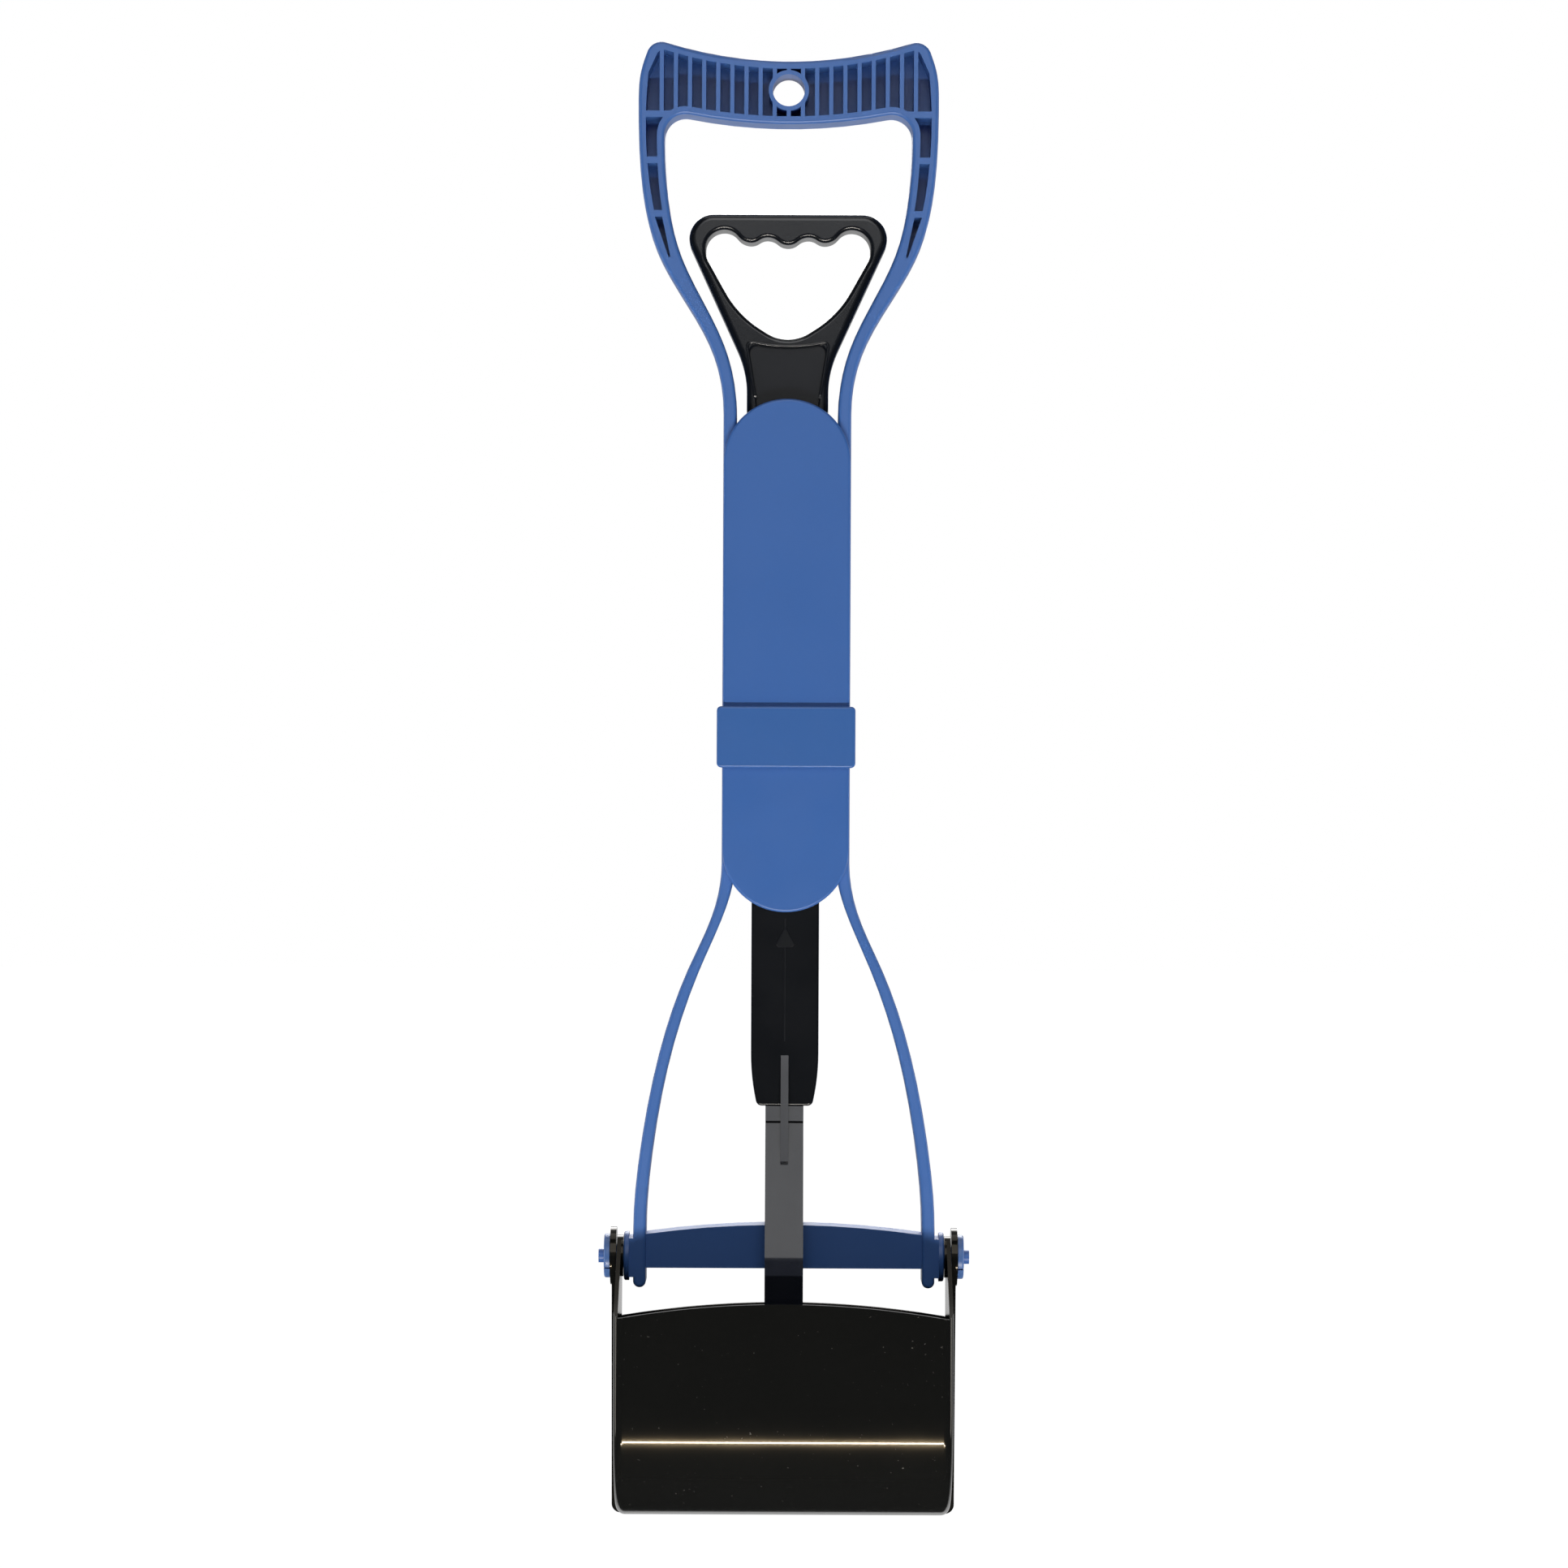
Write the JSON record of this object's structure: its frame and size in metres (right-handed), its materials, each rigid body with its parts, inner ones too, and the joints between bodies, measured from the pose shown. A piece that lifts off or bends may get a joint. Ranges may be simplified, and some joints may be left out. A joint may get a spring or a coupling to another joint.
{
  "type": "jaw scooper",
  "caption": "Long-handled scooper whose spring-closed jaws open when the inner pull handle is drawn up towards the grip.",
  "frame": {"origin": "centre of the hang hole in the grip, at mid depth", "axes": "+X to the viewer's right across the grip, -Y out of the front face, +Z from the jaws up to the grip"},
  "size_m": [0.1606, 0.1, 0.6368],
  "materials": {
    "frame_blue": "satin moulded plastic",
    "cover_blue": "smooth satin moulded plastic",
    "rear_cover_blue": "smooth satin moulded plastic",
    "band_blue": "smooth satin moulded plastic",
    "cap_blue": "satin moulded plastic",
    "screw_steel": "plated steel",
    "spring_steel": "drawn spring wire",
    "pin_steel": "plain steel",
    "handle_black": "satin black moulded plastic",
    "stem_black": "satin black moulded plastic",
    "strap_black": "satin black moulded plastic",
    "jaw_black": "satin black moulded plastic"
  },
  "bodies": {
    "frame": {"outer_frame": "frame_blue", "front_cover": "cover_blue", "rear_cover": "rear_cover_blue", "cover_band": "band_blue", "cover_screws": "screw_steel", "left_axle_cap": "cap_blue", "right_axle_cap": "cap_blue", "return_spring": "spring_steel"},
    "pull": {"pull_handle": "handle_black", "pull_stem": "stem_black", "stem_pin": "pin_steel", "front_strap": "strap_black", "rear_strap": "strap_black", "front_link_pin": "pin_steel", "rear_link_pin": "pin_steel"},
    "front_jaw": {"front_jaw": "jaw_black"},
    "rear_jaw": {"rear_jaw": "jaw_black"}
  },
  "joints": [
    {"name": "pull_slide", "type": "slide", "parent": "frame", "child": "pull", "axis": [0, 0, 1], "range_m": [0, 0.035], "stiffness_N_per_m": 300, "springref_m": -0.01, "deforming": ["return_spring"]},
    {"name": "front_jaw_hinge", "type": "hinge", "parent": "frame", "child": "front_jaw", "pos_m": [0, 0, -0.5044], "axis": [-1, 0, 0], "range_deg": [0, 53.5]},
    {"name": "rear_jaw_hinge", "type": "hinge", "parent": "frame", "child": "rear_jaw", "pos_m": [0, 0, -0.5044], "axis": [1, 0, 0], "range_deg": [0, 53.5]}
  ],
  "couplings": [
    {"joint": "front_jaw_hinge", "follows": "pull_slide", "rad_per_m": 26.67},
    {"joint": "rear_jaw_hinge", "follows": "pull_slide", "rad_per_m": 26.67}
  ]
}
